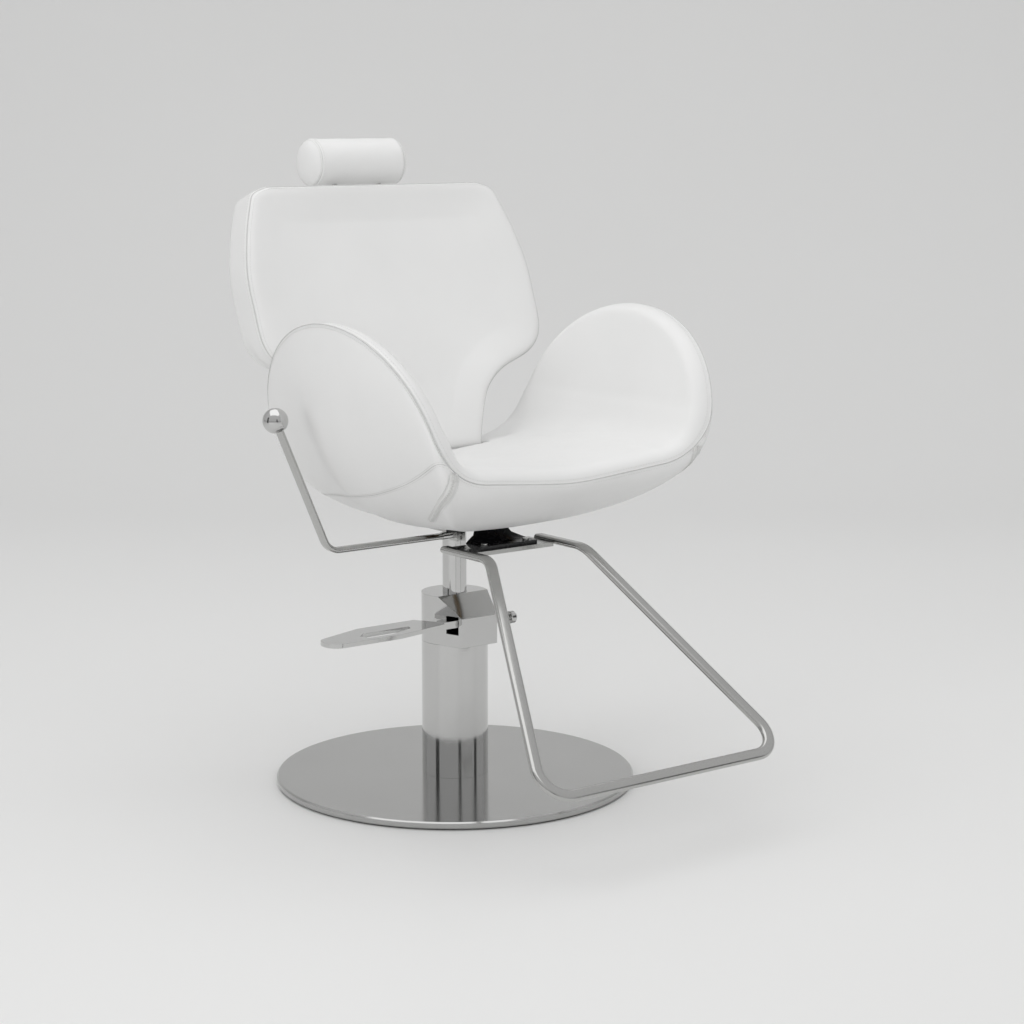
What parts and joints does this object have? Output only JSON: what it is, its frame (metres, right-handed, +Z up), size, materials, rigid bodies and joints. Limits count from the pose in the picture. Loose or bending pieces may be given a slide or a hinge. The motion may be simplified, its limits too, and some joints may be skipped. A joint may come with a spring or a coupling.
{
  "type": "styling chair",
  "caption": "Hydraulic salon styling chair: winged bucket seat, reclining back, headrest roll, recline lever, foot pedal and hanging footrest on a round base.",
  "frame": {"origin": "centre of the round base on the floor", "axes": "+Z up, the chair faces -Y, +X to the sitter's left; the recline lever and the pump pedal are on the -X side"},
  "size_m": [0.7061, 0.8901, 1.0639],
  "materials": {
    "leatherette": "satin",
    "chrome": "polished",
    "satin_steel": "satin",
    "dark_steel": "satin",
    "black_steel": "satin",
    "rubber": "matt",
    "bronze": "satin",
    "plywood": "matt",
    "plastic": "matt"
  },
  "bodies": {
    "base": {"base_pad": "rubber", "base_disc": "chrome", "column_cover": "chrome", "pump_cylinder": "dark_steel", "pump_foot": "dark_steel", "foot_bolts": "dark_steel", "pump_head": "chrome", "guide_bush": "bronze", "wiper_seal": "rubber", "pedal_pin": "satin_steel"},
    "pedal": {"pedal_lever": "chrome"},
    "plunger": {"pump_plunger": "satin_steel"},
    "lock": {"lock_knob": "chrome", "lock_stem": "satin_steel"},
    "lift": {"piston": "satin_steel"},
    "seat": {"piston_nut": "dark_steel", "lift_post": "chrome", "mount_plate": "satin_steel", "mount_bolts": "dark_steel", "seat_hub": "dark_steel", "seat_frame": "dark_steel", "frame_bolts": "satin_steel", "seat_shell": "plywood", "seat_cover": "leatherette", "cushion_board": "plywood", "seat_cushion": "leatherette", "left_wing_pad": "leatherette", "right_wing_pad": "leatherette", "rear_pads": "leatherette", "hinge_brackets": "dark_steel", "hinge_pins": "satin_steel", "gas_cylinder": "black_steel", "gas_anchor_pin": "satin_steel", "lever_bracket": "satin_steel", "footrest_bracket": "black_steel", "footrest_screws": "satin_steel", "footrest_plate": "satin_steel", "footrest_bar": "satin_steel"},
    "handle": {"lever_shaft": "chrome", "recline_lever": "chrome", "lever_ball": "chrome"},
    "back": {"back_frame": "dark_steel", "back_bushes": "bronze", "back_board": "plywood", "back_pad": "leatherette", "back_cover": "leatherette", "board_screws": "satin_steel", "rod_guides": "plastic"},
    "gas_piston": {"gas_rod": "chrome"},
    "headrest": {"headrest_rods": "chrome", "headrest_core": "plywood", "headrest_roll": "leatherette"}
  },
  "joints": [
    {"name": "pedal_press", "type": "hinge", "parent": "base", "child": "pedal", "pos_m": [0.012, -0.051, 0.281], "axis": [0, -1, 0], "range_deg": [0, 12], "stiffness_Nm_per_rad": 20, "springref_deg": -8.59},
    {"name": "plunger_stroke", "type": "slide", "parent": "base", "child": "plunger", "axis": [0, 0, -1], "range_m": [0, 0.0052]},
    {"name": "lock_push", "type": "slide", "parent": "base", "child": "lock", "axis": [-1, 0, 0], "range_m": [0, 0.004], "stiffness_N_per_m": 800, "springref_m": -0.004},
    {"name": "lift", "type": "slide", "parent": "base", "child": "lift", "axis": [0, 0, 1], "range_m": [-0.06, 0.09]},
    {"name": "swivel", "type": "hinge", "parent": "lift", "child": "seat", "pos_m": [0, 0, 0.436], "axis": [0, 0, 1], "continuous": true},
    {"name": "recline", "type": "hinge", "parent": "seat", "child": "back", "pos_m": [0, 0.11139, 0.52904], "axis": [-1, 0, 0], "range_deg": [0, 40]},
    {"name": "gas_stroke", "type": "slide", "parent": "seat", "child": "gas_piston", "axis": [0, -1, 0], "range_m": [0, 0.0276]},
    {"name": "lever_pull", "type": "hinge", "parent": "seat", "child": "handle", "pos_m": [-0.035, -0.04, 0.4265], "axis": [-1, 0, 0], "range_deg": [0, 15], "stiffness_Nm_per_rad": 6, "springref_deg": -8.59},
    {"name": "headrest_slide", "type": "slide", "parent": "back", "child": "headrest", "axis": [0, 0.3502, 0.9367], "range_m": [0, 0.06]}
  ],
  "couplings": [
    {"joint": "plunger_stroke", "follows": "pedal_press", "m_per_rad": 0.024},
    {"joint": "gas_stroke", "follows": "recline", "m_per_rad": 0.0392}
  ]
}
